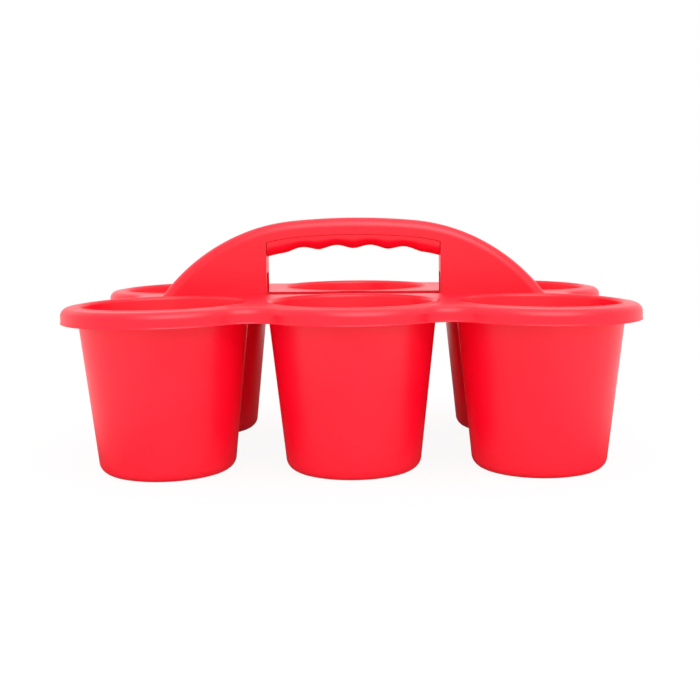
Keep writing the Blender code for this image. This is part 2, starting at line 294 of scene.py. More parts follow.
def add_node(
    tree: Tree, kind: str, inputs: dict[str | int, object], **options: str
) -> bpy.types.Node:
    """Add a node, set its options, then feed it.

    Args:
        tree: The tree to add it to.
        kind: The node's type.
        inputs: For each input's name or place, its value or the socket that feeds it.
        options: The node's options by name.

    Returns:
        The node.
    """
    node = tree.nodes.new(kind)
    for option, value in options.items():
        setattr(node, option, value)
    feed(tree, node, inputs)
    return node


def combine(tree: Tree, operation: str, first: Socket | float, second: Socket | float) -> Socket:
    """Combine two sockets or numbers with a Math node."""
    return add_node(tree, "ShaderNodeMath", {0: first, 1: second}, operation=operation).outputs[0]


def ranged(
    tree: Tree, value: Socket, band: Point2, results: Point2 = WHOLE, **options: str
) -> Socket:
    """Stretch a band of values over a range of results.

    Args:
        tree: The tree to add the node to.
        value: The socket that carries the values.
        band: The values that give the first and the last result.
        results: The first and the last result.
        options: The node's options by name.

    Returns:
        The socket that carries the result.
    """
    inputs = {
        "Value": value,
        "From Min": band[0],
        "From Max": band[1],
        "To Min": results[0],
        "To Max": results[1],
    }
    return add_node(tree, "ShaderNodeMapRange", inputs, **options).outputs["Result"]


def mirrored_rays(tree: Tree, path: bpy.types.Node) -> Socket:
    """A socket that is 1 where the light path has come by a reflection or through glass."""
    rays = (path.outputs["Is Glossy Ray"], path.outputs["Is Transmission Ray"])
    return combine(tree, "MAXIMUM", *rays)


# The moulding's finish and set


@dataclass(frozen=True)
class MouldedPlastic:
    """Glossy satin plastic as it leaves the mould: even colour, faint flow and a fine skin.

    Attributes:
        name: The material's name.
        colour: The pigment's colour.
        deep_colour: The colour where the wall is thick or the pigment gathers.
        roughness: The middle of its gloss.
        roughness_spread: How far the gloss wanders to either side.
        gloss_level: How strongly the surface mirrors what it faces.
        refraction: The plastic's refractive index.
        skin_size: Features per metre of the fine skin.
        skin_detail: Its octaves.
        skin_depth: Its height.
        wave_size: Features per metre of the slow waves that cooling leaves.
        wave_detail: Their octaves.
        wave_depth: Their height.
        wave_band: The values of the waves between which the gloss wanders.
        pigment_size: Features per metre of the pigment's clouds.
        pigment_detail: Their octaves.
        pigment_band: The values of the clouds between which the colour passes over.
    """

    name: str
    colour: Colour = (0.97, 0.0004, 0.022)
    deep_colour: Colour = (0.95, 0.0003, 0.019)
    roughness: float = 0.36
    roughness_spread: float = 0.03
    gloss_level: float = 0.50
    refraction: float = 1.49
    skin_size: float = 900.0
    skin_detail: float = 3.0
    skin_depth: float = 0.00001
    wave_size: float = 28.0
    wave_detail: float = 2.0
    wave_depth: float = 0.00015
    wave_band: Point2 = (0.3, 0.7)
    pigment_size: float = 70.0
    pigment_detail: float = 4.0
    pigment_band: Point2 = (0.35, 0.8)

    def material(self) -> bpy.types.Material:
        """Build the node material.

        Returns:
            The finished material.
        """
        made = bpy.data.materials.new(self.name)
        made.use_nodes = True
        tree = made.node_tree
        place = add_node(tree, "ShaderNodeTexCoord", {}).outputs["Object"]
        waves = self.noise(tree, place, self.wave_size, self.wave_detail)
        skin = self.noise(tree, place, self.skin_size, self.skin_detail)
        clouds = self.noise(tree, place, self.pigment_size, self.pigment_detail)
        pigments = {
            "Factor": ranged(tree, clouds, self.pigment_band),
            "A": (*self.colour, 1.0),
            "B": (*self.deep_colour, 1.0),
        }
        pigment = add_node(tree, "ShaderNodeMix", pigments, data_type="RGBA")
        low = self.roughness - self.roughness_spread
        high = self.roughness + self.roughness_spread
        slow = self.bump(tree, waves, self.wave_depth, {})
        surface = {
            "Base Color": pigment.outputs["Result"],
            "Metallic": 0.0,
            "Roughness": ranged(tree, waves, self.wave_band, (low, high)),
            "IOR": self.refraction,
            "Specular IOR Level": self.gloss_level,
            "Normal": self.bump(tree, skin, self.skin_depth, {"Normal": slow}),
        }
        feed(tree, tree.nodes["Principled BSDF"], surface)
        return made

    def noise(self, tree: Tree, place: Socket, size: float, detail: float) -> Socket:
        """A noise on a piece's own coordinates, by its features per metre and its octaves."""
        inputs = {"Vector": place, "Scale": size, "Detail": detail}
        return add_node(tree, "ShaderNodeTexNoise", inputs).outputs["Fac"]

    def bump(self, tree: Tree, height: Socket, depth: float, under: dict[str, Socket]) -> Socket:
        """Raise a noise as a bump, on top of the one under it if there is one."""
        inputs = {"Strength": 1.0, "Distance": depth, "Height": height, **under}
        return add_node(tree, "ShaderNodeBump", inputs).outputs["Normal"]


@dataclass(frozen=True)
class EndDroop:
    """The moulding's slight set: its long ends hang a little below its middle.

    Attributes:
        straight: How far from the middle the deck stays level.
        end: Where the deck ends.
        drop: How far its end hangs.
        power: How the drop gathers towards the end.
        full_height: Height from which a point takes the whole drop; the table takes none.
        cut_step: Spacing of the cuts that let a long flat follow the curve.
    """

    straight: float = 0.060
    end: float = 0.165
    drop: float = 0.0014
    power: float = 1.0
    full_height: float = 0.0929
    cut_step: float = 0.015

    def amount(self, point: Vector) -> float:
        """How far a point hangs below its level place."""
        along = max(0.0, abs(point.x) - self.straight) / (self.end - self.straight)
        return self.drop * along**self.power * min(1.0, point.z / self.full_height)

    def settle(self, piece: bpy.types.Object) -> None:
        """Lower each point of a piece by its drop.

        Args:
            piece: The piece, out of edit mode.
        """
        for corner in piece.data.vertices:
            corner.co.z -= self.amount(corner.co)
        piece.data.update()

    def settle_long(self, piece: bpy.types.Object) -> None:
        """Cut a piece across along its length, then lower its points.

        Args:
            piece: The piece, out of edit mode.
        """
        pick_only(piece)
        bpy.ops.object.mode_set(mode="EDIT")
        place = self.straight
        while place < self.end:
            for side in LEFT_AND_RIGHT:
                bpy.ops.mesh.select_all(action="SELECT")
                across = (side * place, 0.0, 0.0)
                bpy.ops.mesh.bisect(plane_co=across, plane_no=ALONG, threshold=NEAR)
            place += self.cut_step
        clear_selection()
        self.settle(piece)


DROOP = EndDroop()


def dress(piece: bpy.types.Object, finish: MouldedPlastic, *nodes: str) -> None:
    """Give a finished piece its material, body and the solids it stands for.

    Args:
        piece: The piece.
        finish: Its finish.
        nodes: The solids that it stands for.
    """
    smooth_finish(piece)
    piece.data.materials.clear()
    piece.data.materials.append(finish.material())
    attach(piece, BODY)
    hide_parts(*nodes)
    LOG.info("%s: %d faces", piece.name, len(piece.data.polygons))


# The moulding


@dataclass(frozen=True)
class CupSizes:
    """Sizes that the cups and the deck share.

    Attributes:
        foot_radius: The outside's radius, drawn down to the table.
        mouth_radius: The outside's radius at the deck's underside.
        wall: The wall's thickness.
        deck_underside: Height of the deck's underside.
        joint: Height at which the cup's wall passes into the deck's collar.
    """

    foot_radius: float = 0.0384
    mouth_radius: float = 0.0484
    wall: float = 0.0022
    deck_underside: float = 0.0939
    joint: float = 0.0929

    def outer(self, height: float) -> float:
        """Radius of the outside at a height."""
        return self.foot_radius + (self.mouth_radius - self.foot_radius) * height / self.deck_underside

    def inner(self, height: float) -> float:
        """Radius of the inside at a height."""
        return self.outer(height) - self.wall


@dataclass
class TaperedCup:
    """One tapered cup, turned in one go from its profile.

    Attributes:
        row: Which row it stands in.
        column: Which place in the row.
        sizes: The shared cup sizes.
        finish: The plastic it is made of.
        floor: The floor's thickness.
        foot_round: The round at the foot.
        base_radius: Radius of the hollow under the base.
        base_hollow: Depth of that hollow.
        base_slope: Width of the slope into it.
        gate_radius: Radius of the gate mark in the middle of the base.
        gate_height: How far the gate mark stands proud.
        wall_shares: Where the walls have their points, as shares of the joint's height.
        facets: Steps round the cup.
        round_steps: Steps in each round of its profile.
    """

    row: Row
    column: Column
    sizes: CupSizes
    finish: MouldedPlastic
    floor: float = 0.0024
    foot_round: float = 0.0070
    base_radius: float = 0.0285
    base_hollow: float = 0.0008
    base_slope: float = 0.0009
    gate_radius: float = 0.0016
    gate_height: float = 0.0004
    wall_shares: Shares = (0.25, 0.5, 0.75)
    facets: int = 120
    round_steps: int = 8

    def node(self) -> str:
        """Name of the solid that this cup stands for."""
        return f"cup_{self.row.value}_{self.column.value}"

    def profile(self) -> list[Point2]:
        """Radius and height of the profile's points, out over the floor and back under it.

        Returns:
            The points, from the axis to the axis.
        """
        sizes = self.sizes
        inner_round = self.foot_round - sizes.wall
        inner_height = self.floor + inner_round
        inner_centre = (sizes.inner(inner_height) - inner_round, inner_height)
        outer_centre = (sizes.outer(self.foot_round) - self.foot_round, self.foot_round)
        walls = [sizes.joint * share for share in self.wall_shares]
        gate_low = self.base_hollow - self.gate_height
        return [
            (0.0, self.floor),
            (self.base_radius, self.floor),
            *arc(inner_centre, inner_round, -QUARTER_TURN, 0.0, self.round_steps),
            *[(sizes.inner(height), height) for height in walls],
            (sizes.inner(sizes.joint), sizes.joint),
            (sizes.outer(sizes.joint), sizes.joint),
            *[(sizes.outer(height), height) for height in reversed(walls)],
            *arc(outer_centre, self.foot_round, 0.0, -QUARTER_TURN, self.round_steps),
            (self.base_radius + self.base_slope, 0.0),
            (self.base_radius, self.base_hollow),
            (self.gate_radius + self.gate_height, self.base_hollow),
            (self.gate_radius, gate_low),
            (0.0, gate_low),
        ]

    def build(self) -> bpy.types.Object:
        """Turn the cup on its own axis and dress it.

        Returns:
            The finished cup.
        """
        low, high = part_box(self.node())
        middle = (low + high) / 2.0
        places = [(middle.x + radius, middle.y, height) for radius, height in self.profile()]
        cup = draw_wire(f"moulded_{self.node()}", places)
        swing(FULL_TURN, (middle.x, middle.y, 0.0), UP, self.facets)
        weld_and_face_out()
        clear_selection()
        DROOP.settle(cup)
        dress(cup, self.finish, self.node())
        return cup


@dataclass
class ScallopedDeck:
    """The deck: six beaded mouths, a rolled edge that follows them, and a short skirt.

    It is modelled as one quarter, swept from two sections, then mirrored twice and filled.

    Attributes:
        sizes: The shared cup sizes.
        finish: The plastic it is made of.
        pitch_x: Distance between the cups of a row.
        row_y: Distance of each row from the handle.
        flat: Height of the flat top, at the beads' feet.
        crest: Height of the beads.
        lip_round: Round over each mouth's lip.
        slope: Fall of a bead's outward slope.
        slope_shares: Where that slope has its points, as shares of its width.
        shoulder_slope: Fall of the top between a bead and the rim.
        rim_radius: Radius of the skirt's lower edge round a cup.
        rim_round: Round between the top and the skirt.
        flare: How far the skirt's lower edge stands out.
        flare_rise: Height over which the skirt flares.
        flare_shares: Where the flare has its points, as shares of that height from its top.
        skirt_wall: The skirt's thickness.
        skirt_edge_round: Round of its lower edge.
        skirt_inner_round: Round between the skirt and the underside.
        skirt_bottom: Height of its lower edge.
        web_radius: Radius of the hollow blend between two cups.
        slot_half_length: Half the length of the slot under the window.
        slot_half_width: Half its width.
        slot_corner: Round of its corners.
        overrun: How far a cutter passes what it cuts.
        leg_start: Where the top's opening under a leg starts.
        leg_end: Where it ends.
        leg_half_width: Half its width.
        steps_per_turn: Steps in a whole turn round a cup.
        fewest_steps: The least steps that a short sweep has.
        lip_steps: Steps over the lip.
        corner_steps: Steps in the round between the top and the skirt.
        edge_steps: Steps in the outer round of the skirt's lower edge.
        inner_edge_steps: Steps in the inner round of that edge.
        inner_round_steps: Steps in the round between the skirt and the underside.
        slot_corner_steps: Steps in each corner of the slot.
    """

    sizes: CupSizes
    finish: MouldedPlastic
    pitch_x: float = 0.1074
    row_y: float = 0.0610
    flat: float = 0.0967
    crest: float = 0.0972
    lip_round: float = 0.0022
    slope: float = math.radians(15.0)
    slope_shares: Shares = (0.5, 0.8)
    shoulder_slope: float = math.radians(4.0)
    rim_radius: float = 0.0576
    rim_round: float = 0.0045
    flare: float = 0.00025
    flare_rise: float = 0.0010
    flare_shares: Shares = (0.0, 0.3, 0.55, 0.8)
    skirt_wall: float = 0.0020
    skirt_edge_round: float = 0.0003
    skirt_inner_round: float = 0.0023
    skirt_bottom: float = 0.0876
    web_radius: float = 0.0200
    slot_half_length: float = 0.0535
    slot_half_width: float = 0.0115
    slot_corner: float = 0.0010
    overrun: float = 0.0040
    leg_start: float = 0.0557
    leg_end: float = 0.1163
    leg_half_width: float = 0.0075
    steps_per_turn: int = 132
    fewest_steps: int = 2
    lip_steps: int = 8
    corner_steps: int = 9
    edge_steps: int = 7
    inner_edge_steps: int = 3
    inner_round_steps: int = 5
    slot_corner_steps: int = 4

    def slope_height(self, radius: float) -> float:
        """Height of the bead's outward slope at a radius from a cup's axis."""
        start_radius, start_height = self.slope_start()
        return start_height - (radius - start_radius) * math.tan(self.slope)

    def lip_centre(self) -> Point2:
        """Centre of the round over the mouth's lip."""
        height = self.crest - self.lip_round
        return self.sizes.inner(height) + self.lip_round, height

    def slope_start(self) -> Point2:
        """Where the lip's round passes into the slope.

        Returns:
            Radius and height of that point.
        """
        centre = self.lip_centre()
        across = self.lip_round * math.sin(self.slope)
        up = self.lip_round * math.cos(self.slope)
        return centre[0] + across, centre[1] + up

    def bead_foot(self) -> float:
        """Radius at which the bead's slope reaches the flat deck."""
        start_radius, start_height = self.slope_start()
        return start_radius + (start_height - self.flat) / math.tan(self.slope)

    def collar(self) -> list[Point2]:
        """Section of the collar under the deck, from its outside to the mouth's inner wall.

        Returns:
            Radius and height of its points.
        """
        sizes = self.sizes
        return [
            (sizes.outer(sizes.deck_underside), sizes.deck_underside),
            (sizes.outer(sizes.joint), sizes.joint),
            (sizes.inner(sizes.joint), sizes.joint),
        ]

    def bead(self) -> list[Point2]:
        """Section of the mouth, from the inner wall over the lip to the foot of the slope.

        Returns:
            Radius and height of its points.
        """
        centre = self.lip_centre()
        over_lip = arc(
            centre, self.lip_round, HALF_TURN, QUARTER_TURN - self.slope, self.lip_steps
        )
        start = self.slope_start()[0]
        foot = self.bead_foot()
        radii = [start + share * (foot - start) for share in self.slope_shares]
        slope = [(radius, self.slope_height(radius)) for radius in radii]
        return [*over_lip, *slope, (foot, self.flat)]

    def rim(self) -> list[Point2]:
        """Section of the rolled edge and skirt, from the flat deck round to its underside.

        Returns:
            Radius and height of its points.
        """
        edge = self.skirt_edge_round
        flare_tilt = math.atan(2.0 * self.flare / self.flare_rise)
        flare_foot = self.skirt_bottom + edge * (1.0 + math.sin(flare_tilt))
        face = self.rim_radius - edge * (1.0 - math.cos(flare_tilt)) - self.flare
        flared = []
        for share in self.flare_shares:
            height = flare_foot + self.flare_rise * (1.0 - share)
            flared.append((face + self.flare * share**2, height))
        tilt = self.shoulder_slope
        corner_x = face - self.rim_round
        tangent_x = corner_x + self.rim_round * math.sin(tilt)
        shoulder = self.flat - (tangent_x - self.bead_foot()) * math.tan(tilt)
        corner_centre = (corner_x, shoulder - self.rim_round * math.cos(tilt))
        edge_centre = (self.rim_radius - edge, self.skirt_bottom + edge)
        inside = self.rim_radius - self.skirt_wall
        small = edge / 2.0
        small_centre = (inside + small, self.skirt_bottom + small)
        inner = self.skirt_inner_round
        inner_centre = (inside - inner, self.sizes.deck_underside - inner)
        return [
            *arc(corner_centre, self.rim_round, QUARTER_TURN - tilt, 0.0, self.corner_steps),
            *flared,
            *arc(edge_centre, edge, flare_tilt, -QUARTER_TURN, self.edge_steps),
            *arc(small_centre, small, -QUARTER_TURN, -HALF_TURN, self.inner_edge_steps),
            *arc(inner_centre, inner, 0.0, QUARTER_TURN, self.inner_round_steps),
        ]

    def steps(self, angle: float) -> int:
        """Steps that an angle round a cup takes."""
        return max(self.fewest_steps, round(self.steps_per_turn * abs(angle) / FULL_TURN))

    def build(self) -> bpy.types.Object:
        """Sweep a quarter, mirror it, fill the flats, and cut the slot and the legs' hollows.

        Returns:
            The finished deck.
        """
        deck = self.quarter()
        clear_selection()
        apply_modifier(
            deck,
            "MIRROR",
            use_axis=(True, True, False),
            use_mirror_merge=True,
            merge_threshold=WELD,
        )
        self.fill_flats(deck)
        cut_away(deck, self.slot_cutter())
        for side in LEFT_AND_RIGHT:
            cut_away(deck, self.leg_cutter(side))
        DROOP.settle_long(deck)
        dress(deck, self.finish, "deck")
        return deck

    def quarter(self) -> bpy.types.Object:
        """Sweep the sections round the right-hand half of the front row.

        Returns:
            The quarter, in edit mode.
        """
        reach = self.rim_radius + self.web_radius
        to_mate = math.acos(self.pitch_x / 2.0 / reach)
        to_row = math.acos(self.row_y / reach)
        middle_span = QUARTER_TURN - to_mate
        end_span = HALF_TURN - to_mate + QUARTER_TURN - to_row
        web_y = -self.row_y - math.sqrt(reach**2 - (self.pitch_x / 2.0) ** 2)
        end_web_x = self.pitch_x + math.sqrt(reach**2 - self.row_y**2)
        middle_axis = (0.0, -self.row_y, 0.0)
        end_axis = (self.pitch_x, -self.row_y, 0.0)
        web_axis = (self.pitch_x / 2.0, web_y, 0.0)
        end_web_axis = (end_web_x, 0.0, 0.0)
        mouth = [*self.collar(), *self.bead()]
        whole = [*mouth, *self.rim(), mouth[0]]
        web = [(reach - radius, height) for radius, height in (mouth[-1], *self.rim())]
        sweeps = (
            (whole, middle_axis, -QUARTER_TURN, middle_span),
            (mouth, middle_axis, -QUARTER_TURN + middle_span, HALF_TURN - middle_span),
            (whole, end_axis, -HALF_TURN + to_mate, end_span),
            (mouth, end_axis, QUARTER_TURN - to_row, FULL_TURN - end_span),
            (web, web_axis, HALF_TURN - to_mate, 2.0 * to_mate - HALF_TURN),
            (web, end_web_axis, HALF_TURN + QUARTER_TURN - to_row, to_row - QUARTER_TURN),
        )
        deck = self.sweep(*sweeps[0])
        for sweep in sweeps[1:]:
            swept = self.sweep(*sweep)
            pick_only(deck)
            swept.select_set(True)
            bpy.ops.object.join()
        bpy.ops.object.mode_set(mode="EDIT")
        weld_and_face_out()
        return deck

    def sweep(
        self, section: list[Point2], axis: Point3, start: float, span: float
    ) -> bpy.types.Object:
        """Draw a section at an angle round an upright axis and sweep it on from there.

        Args:
            section: Radius and height of its points.
            axis: The axis of a cup, or of the hollow blend between two cups.
            start: The first angle.
            span: The angle swept.

        Returns:
            The new object, out of edit mode.
        """
        across = Vector((math.cos(start), math.sin(start), 0.0))
        places = [tuple(Vector(axis) + across * radius + Vector(UP) * z) for radius, z in section]
        swept = draw_wire("moulded_deck", places)
        swing(span, axis, UP, self.steps(span))
        bpy.ops.object.mode_set(mode="OBJECT")
        return swept

    def fill_flats(self, deck: bpy.types.Object) -> None:
        """Fill the deck's flat top and its underside between the swept parts.

        Args:
            deck: The deck.
        """
        pick_only(deck)
        bpy.ops.object.mode_set(mode="EDIT")
        for level in (self.flat, self.sizes.deck_underside):
            select_edges(
                deck, lambda edge, middle: edge.is_boundary and abs(middle.z - level) < NEAR
            )
            bpy.ops.mesh.fill(use_beauty=True)
        weld_and_face_out()
        clear_selection()

    def slot_cutter(self) -> bpy.types.Object:
        """The round-cornered block that cuts the slot under the window.

        Returns:
            The cutter.
        """
        clear_selection()
        bpy.ops.mesh.primitive_plane_add(size=1.0)
        cutter = bpy.context.object
        bpy.ops.object.mode_set(mode="EDIT")
        bpy.ops.mesh.select_all(action="SELECT")
        size = (2.0 * self.slot_half_length, 2.0 * self.slot_half_width, 1.0)
        bpy.ops.transform.resize(value=size)
        bpy.ops.mesh.bevel(
            offset=self.slot_corner, segments=self.slot_corner_steps, affect="VERTICES"
        )
        bpy.ops.mesh.select_all(action="SELECT")
        low = self.sizes.deck_underside - self.overrun
        bpy.ops.transform.translate(value=(0.0, 0.0, low))
        height = self.crest + self.overrun - low
        bpy.ops.mesh.extrude_region_move(TRANSFORM_OT_translate={"value": (0.0, 0.0, height)})
        weld_and_face_out()
        clear_selection()
        return cutter

    def leg_cutter(self, side: float) -> bpy.types.Object:
        """The block that opens the deck under one hollow leg.

        Args:
            side: 1 for the right leg, -1 for the left.

        Returns:
            The cutter.
        """
        near, far = sorted((side * self.leg_start, side * self.leg_end))
        low = (near, -self.leg_half_width, self.flat - self.overrun)
        high = (far, self.leg_half_width, self.flat + self.overrun)
        return box_cutter(low, high)


@dataclass(frozen=True)
class ArchLine:
    """The handle's outline: a flat crown arc and a tighter shoulder arc on either side.

    Attributes:
        top: Height of the crown.
        foot: Height of the deck, where the outline ends.
        half_length: Half the outline's length there.
        crown_radius: Radius of the crown.
        shoulder_radius: Radius of the shoulders.
        arch_depth: How far below the outline the arch's underside lies.
    """

    top: float = 0.1433
    foot: float = 0.0961
    half_length: float = 0.1191
    crown_radius: float = 0.4035
    shoulder_radius: float = 0.1164
    arch_depth: float = 0.0101

    def crown_z(self) -> float:
        """Height of the crown arc's centre."""
        return self.top - self.crown_radius

    def shoulder_centre(self) -> Point2:
        """Centre of the right shoulder's arc, which touches the crown arc from inside.

        Returns:
            The centre's place along the handle and its height.
        """
        to_crown = self.crown_radius - self.shoulder_radius
        across = self.half_length
        up = self.foot - self.crown_z()
        span = math.hypot(across, up)
        along = (to_crown**2 - self.shoulder_radius**2 + span**2) / (2.0 * span)
        aside = math.sqrt(to_crown**2 - along**2)
        centre_x = (along * across - aside * up) / span
        centre_z = self.crown_z() + (along * up + aside * across) / span
        return centre_x, centre_z

    def join_angle(self) -> float:
        """Angle from the upright at which crown and shoulder meet."""
        centre_x, centre_z = self.shoulder_centre()
        return math.atan2(centre_x, centre_z - self.crown_z())

    def height(self, x: float, inset: float) -> float:
        """Height of the outline at a place along it, drawn in by an inset.

        Args:
            x: The place along the handle.
            inset: How far inside the outline.

        Returns:
            The height above the table.
        """
        centre_x, centre_z = self.shoulder_centre()
        crown = self.crown_radius - inset
        if abs(x) <= crown * math.sin(self.join_angle()):
            return self.crown_z() + math.sqrt(crown**2 - x**2)
        shoulder = self.shoulder_radius - inset
        return centre_z + math.sqrt(shoulder**2 - (abs(x) - centre_x) ** 2)

    def half_length_at(self, height: float, inset: float) -> float:
        """Half the outline's length at a height, drawn in by an inset.

        Args:
            height: The height above the table.
            inset: How far inside the outline.

        Returns:
            The place of the outline's right side.
        """
        centre_x, centre_z = self.shoulder_centre()
        shoulder = self.shoulder_radius - inset
        return centre_x + math.sqrt(shoulder**2 - (height - centre_z) ** 2)


@dataclass
class ArchedHandle:
    """The handle: a hollow arch and its two legs, with a window for the hand.

    Attributes:
        line: The handle's outline.
        finish: The plastic it is made of.
        thickness: Its size across.
        edge_round: Round of its long outer edges.
        wall: The shell's thickness.
        half_window: Half the window's length.
        leg_edge: Round of the legs' edges in the window.
        arch_edge: Round of the arch's edges along the grip.
        passage_rise: Height of the opening in each leg's window wall.
        passage_half_width: Half its width.
        channel_step: How far the hollow runs past the arch's underside, to open it there.
        sink: How far the feet reach below the outline's foot.
        overrun: How far a cutter passes what it cuts.
        shoulder_steps: Steps in each shoulder arc.
        crown_steps: Steps in the crown arc.
        window_steps: Steps along the window's top.
        round_steps: Steps in the long outer edges' round.
        ease_steps: Steps in the window's eased edges.
    """

    line: ArchLine
    finish: MouldedPlastic
    thickness: float = 0.0194
    edge_round: float = 0.0060
    wall: float = 0.0022
    half_window: float = 0.0535
    leg_edge: float = 0.0010
    arch_edge: float = 0.0002
    passage_rise: float = 0.0135
    passage_half_width: float = 0.0072
    channel_step: float = 0.0010
    sink: float = 0.0002
    overrun: float = 0.0040
    shoulder_steps: int = 30
    crown_steps: int = 24
    window_steps: int = 48
    round_steps: int = 8
    ease_steps: int = 4

    def build(self) -> bpy.types.Object:
        """Model the arch, cut its window, ease the window's edges and hollow it.

        Returns:
            The finished handle.
        """
        low = self.line.foot - self.overrun
        handle = self.arch_block("moulded_handle", 0.0, self.thickness, low, self.edge_round)
        self.trim_foot(handle)
        window = self.under_arch_block(self.half_window, self.line.arch_depth)
        cut_away(handle, window)
        self.ease_window(handle)
        inner_thickness = self.thickness - 2.0 * self.wall
        inner_round = self.edge_round - self.wall
        hollow = self.arch_block("hollow", self.wall, inner_thickness, low, inner_round)
        surround = self.under_arch_block(
            self.half_window + self.wall, self.line.arch_depth + self.channel_step
        )
        cut_away(hollow, surround)
        cut_away(handle, hollow)
        for side in LEFT_AND_RIGHT:
            cut_away(handle, self.passage(side))
        DROOP.settle_long(handle)
        dress(handle, self.finish, "handle_shell")
        return handle

    def arch_block(
        self, name: str, inset: float, thickness: float, foot: float, round_radius: float
    ) -> bpy.types.Object:
        """Draw the arch's outline with two kinds of arc, thicken it and round its long edges.

        Args:
            name: The new object's name.
            inset: How far inside the handle's outline.
            thickness: Its size across the handle.
            foot: Height of its lower end.
            round_radius: Radius of its long outer edges.

        Returns:
            The block.
        """
        line = self.line
        centre_x, centre_z = line.shoulder_centre()
        front = -thickness / 2.0
        right_foot = (line.half_length_at(foot, inset), front, foot)
        rise = math.atan2(foot - centre_z, right_foot[0] - centre_x)
        join = line.join_angle()
        block = start_wire(name, right_foot)
        shoulder_span = QUARTER_TURN - join - rise
        swing(shoulder_span, (centre_x, front, centre_z), TOWARDS_FRONT, self.shoulder_steps)
        swing(2.0 * join, (0.0, front, line.crown_z()), TOWARDS_FRONT, self.crown_steps)
        swing(shoulder_span, (-centre_x, front, centre_z), TOWARDS_FRONT, self.shoulder_steps)
        bpy.ops.mesh.select_all(action="SELECT")
        bpy.ops.mesh.edge_face_add()
        self.thicken(thickness)
        select_edges(
            block,
            lambda edge, middle: abs(abs(middle.y) + front) < NEAR and middle.z > foot + NEAR,
        )
        bpy.ops.mesh.bevel(offset=round_radius, segments=self.round_steps, clamp_overlap=False)
        weld_and_face_out()
        clear_selection()
        return block

    def trim_foot(self, handle: bpy.types.Object) -> None:
        """Cut the arch off level, a hair below the deck's top, and close the cut.

        Args:
            handle: The handle, drawn down past the deck.
        """
        pick_only(handle)
        bpy.ops.object.mode_set(mode="EDIT")
        bpy.ops.mesh.select_all(action="SELECT")
        bpy.ops.mesh.bisect(
            plane_co=(0.0, 0.0, self.line.foot - self.sink),
            plane_no=UP,
            use_fill=True,
            clear_inner=True,
        )
        weld_and_face_out()
        clear_selection()

    def thicken(self, thickness: float) -> None:
        """Draw the selected flat face back into a block of a thickness."""
        bpy.ops.mesh.extrude_region_move(TRANSFORM_OT_translate={"value": (0.0, thickness, 0.0)})
        weld_and_face_out()

    def under_arch_block(self, half_length: float, inset: float) -> bpy.types.Object:
        """The block that fills the space under the arch, through the handle and past it.

        Args:
            half_length: Half its length.
            inset: How far its top lies inside the handle's outline.

        Returns:
            The block.
        """
        front = -self.thickness / 2.0 - self.overrun
        bottom = self.line.foot - 2.0 * self.overrun
        places = [(-half_length, front, bottom), (half_length, front, bottom)]
        for step in range(self.window_steps + 1):
            x = half_length * (1.0 - 2.0 * step / self.window_steps)
            places.append((x, front, self.line.height(x, inset)))
        block = draw_wire("under_arch", places)
        bpy.ops.mesh.edge_face_add()
        self.thicken(-2.0 * front)
        clear_selection()
        return block

    def ease_window(self, handle: bpy.types.Object) -> None:
        """Round the legs' edges in the window, and the arch's edges along the grip a little.

        Args:
            handle: The handle with its window cut.
        """
        pick_only(handle)
        bpy.ops.object.mode_set(mode="EDIT")
        for wanted, size in ((self.on_leg_edge, self.leg_edge), (self.on_arch_edge, self.arch_edge)):
            select_edges(handle, wanted)
            bpy.ops.mesh.bevel(offset=size, segments=self.ease_steps, clamp_overlap=True)
        clear_selection()

    def on_face(self, middle: Vector) -> bool:
        """Whether a point lies on a flat face of the handle, above its foot."""
        reached = abs(abs(middle.y) - self.thickness / 2.0) < NEAR
        return reached and middle.z > self.line.foot + NEAR

    def on_leg_edge(self, edge: bmesh.types.BMEdge, middle: Vector) -> bool:
        """Whether an edge is where a leg's wall in the window meets a face."""
        return self.on_face(middle) and abs(abs(middle.x) - self.half_window) < NEAR

    def on_arch_edge(self, edge: bmesh.types.BMEdge, middle: Vector) -> bool:
        """Whether an edge is where the underside of the arch meets a face.

        Args:
            edge: The edge; not used.
            middle: Its middle point.

        Returns:
            Whether it is.
        """
        under = self.line.height(middle.x, self.line.arch_depth)
        inside = abs(middle.x) < self.half_window
        return self.on_face(middle) and inside and abs(middle.z - under) < NEAR

    def passage(self, side: float) -> bpy.types.Object:
        """The block that opens the lower part of a leg's wall from the window into the leg.

        Args:
            side: 1 for the right leg, -1 for the left.

        Returns:
            The cutter.
        """
        window_side = side * (self.half_window - self.overrun)
        leg_side = side * (self.half_window + self.wall + self.overrun)
        near, far = sorted((window_side, leg_side))
        low = (near, -self.passage_half_width, self.line.foot - self.overrun)
        high = (far, self.passage_half_width, self.line.foot + self.passage_rise)
        return box_cutter(low, high)


